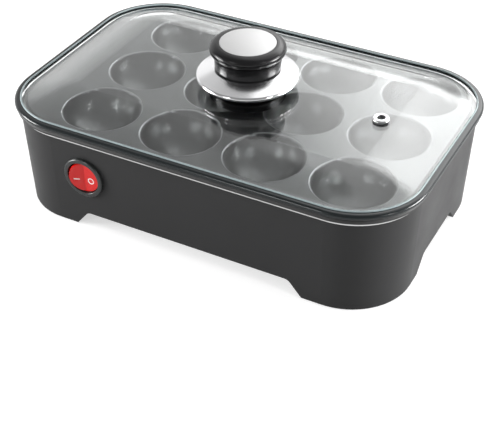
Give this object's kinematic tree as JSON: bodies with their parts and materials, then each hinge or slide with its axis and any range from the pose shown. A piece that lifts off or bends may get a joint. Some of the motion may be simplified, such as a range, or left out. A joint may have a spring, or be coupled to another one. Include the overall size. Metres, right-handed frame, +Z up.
{
  "type": "takoyaki maker",
  "caption": "Countertop takoyaki maker: dimpled baking plate in a dark footed housing, lift-off domed glass lid with a knob, round red rocker switch.",
  "frame": {"origin": "on the table, under the middle of the lid", "axes": "+X along the front to the right, +Y to the back wall with the cord gland, +Z up; the switch is in the -Y wall"},
  "size_m": [0.2288, 0.1488, 0.0925],
  "materials": {
    "housing_plastic": "matte black moulded plastic with a fine texture",
    "pad_rubber": "black rubber",
    "cover_steel": "black painted sheet steel",
    "zinc_screw": "zinc plated",
    "plate_cast": "die-cast aluminium with a dark non-stick coat",
    "element_sheath": "heat-tinted steel sheath",
    "ceramic": "glazed white ceramic",
    "terminal_metal": "tinned brass",
    "strap_steel": "galvanised sheet",
    "reflector_alu": "bright rolled aluminium",
    "thermostat_body": "brown phenolic",
    "fuse_sleeve": "woven glass sleeve",
    "switch_black": "satin black",
    "rocker_red": "glossy red",
    "gland_rubber": "black",
    "glass": "clear tempered",
    "rim_steel": "dark polished steel",
    "vent_steel": "polished",
    "silicone": "black silicone",
    "knob_black": "glossy black heat-proof moulding",
    "guard_chrome": "mirror polished",
    "cap_metal": "fine brushed",
    "washer_steel": "plain"
  },
  "bodies": {
    "base": {"housing": "housing_plastic", "foot_pads": "pad_rubber", "bottom_cover": "cover_steel", "cover_screws": "zinc_screw", "plate_screws": "zinc_screw", "strap_screws": "zinc_screw", "reflector_screws": "zinc_screw", "thermostat_screw": "zinc_screw", "fuse_clip_screw": "zinc_screw", "baking_plate": "plate_cast", "heating_element": "element_sheath", "element_insulators": "ceramic", "terminal_block": "ceramic", "element_terminals": "terminal_metal", "switch_terminals": "terminal_metal", "element_straps": "strap_steel", "thermostat_bracket": "strap_steel", "fuse_clip": "strap_steel", "reflector_tray": "reflector_alu", "thermostat": "thermostat_body", "thermal_fuse": "fuse_sleeve", "switch_body": "switch_black", "cord_gland": "gland_rubber"},
    "rocker": {"switch_rocker": "rocker_red"},
    "lid": {"lid_glass": "glass", "lid_rim": "rim_steel", "vent_eyelet": "vent_steel", "knob_seal": "silicone", "knob_base": "knob_black", "knob_guard": "guard_chrome", "knob_grip": "knob_black", "knob_cap": "cap_metal", "knob_screw": "zinc_screw", "knob_washer": "washer_steel", "knob_lower_seal": "silicone"}
  },
  "joints": [
    {"name": "lid_lift", "type": "slide", "parent": "base", "child": "lid", "axis": [0, 0, 1], "range_m": [0, 0.12]},
    {"name": "rocker_tilt", "type": "hinge", "parent": "base", "child": "rocker", "pos_m": [-0.0575, -0.06957, 0.03405], "axis": [0, 0.0373, -0.9993], "range_deg": [0, 20]}
  ]
}
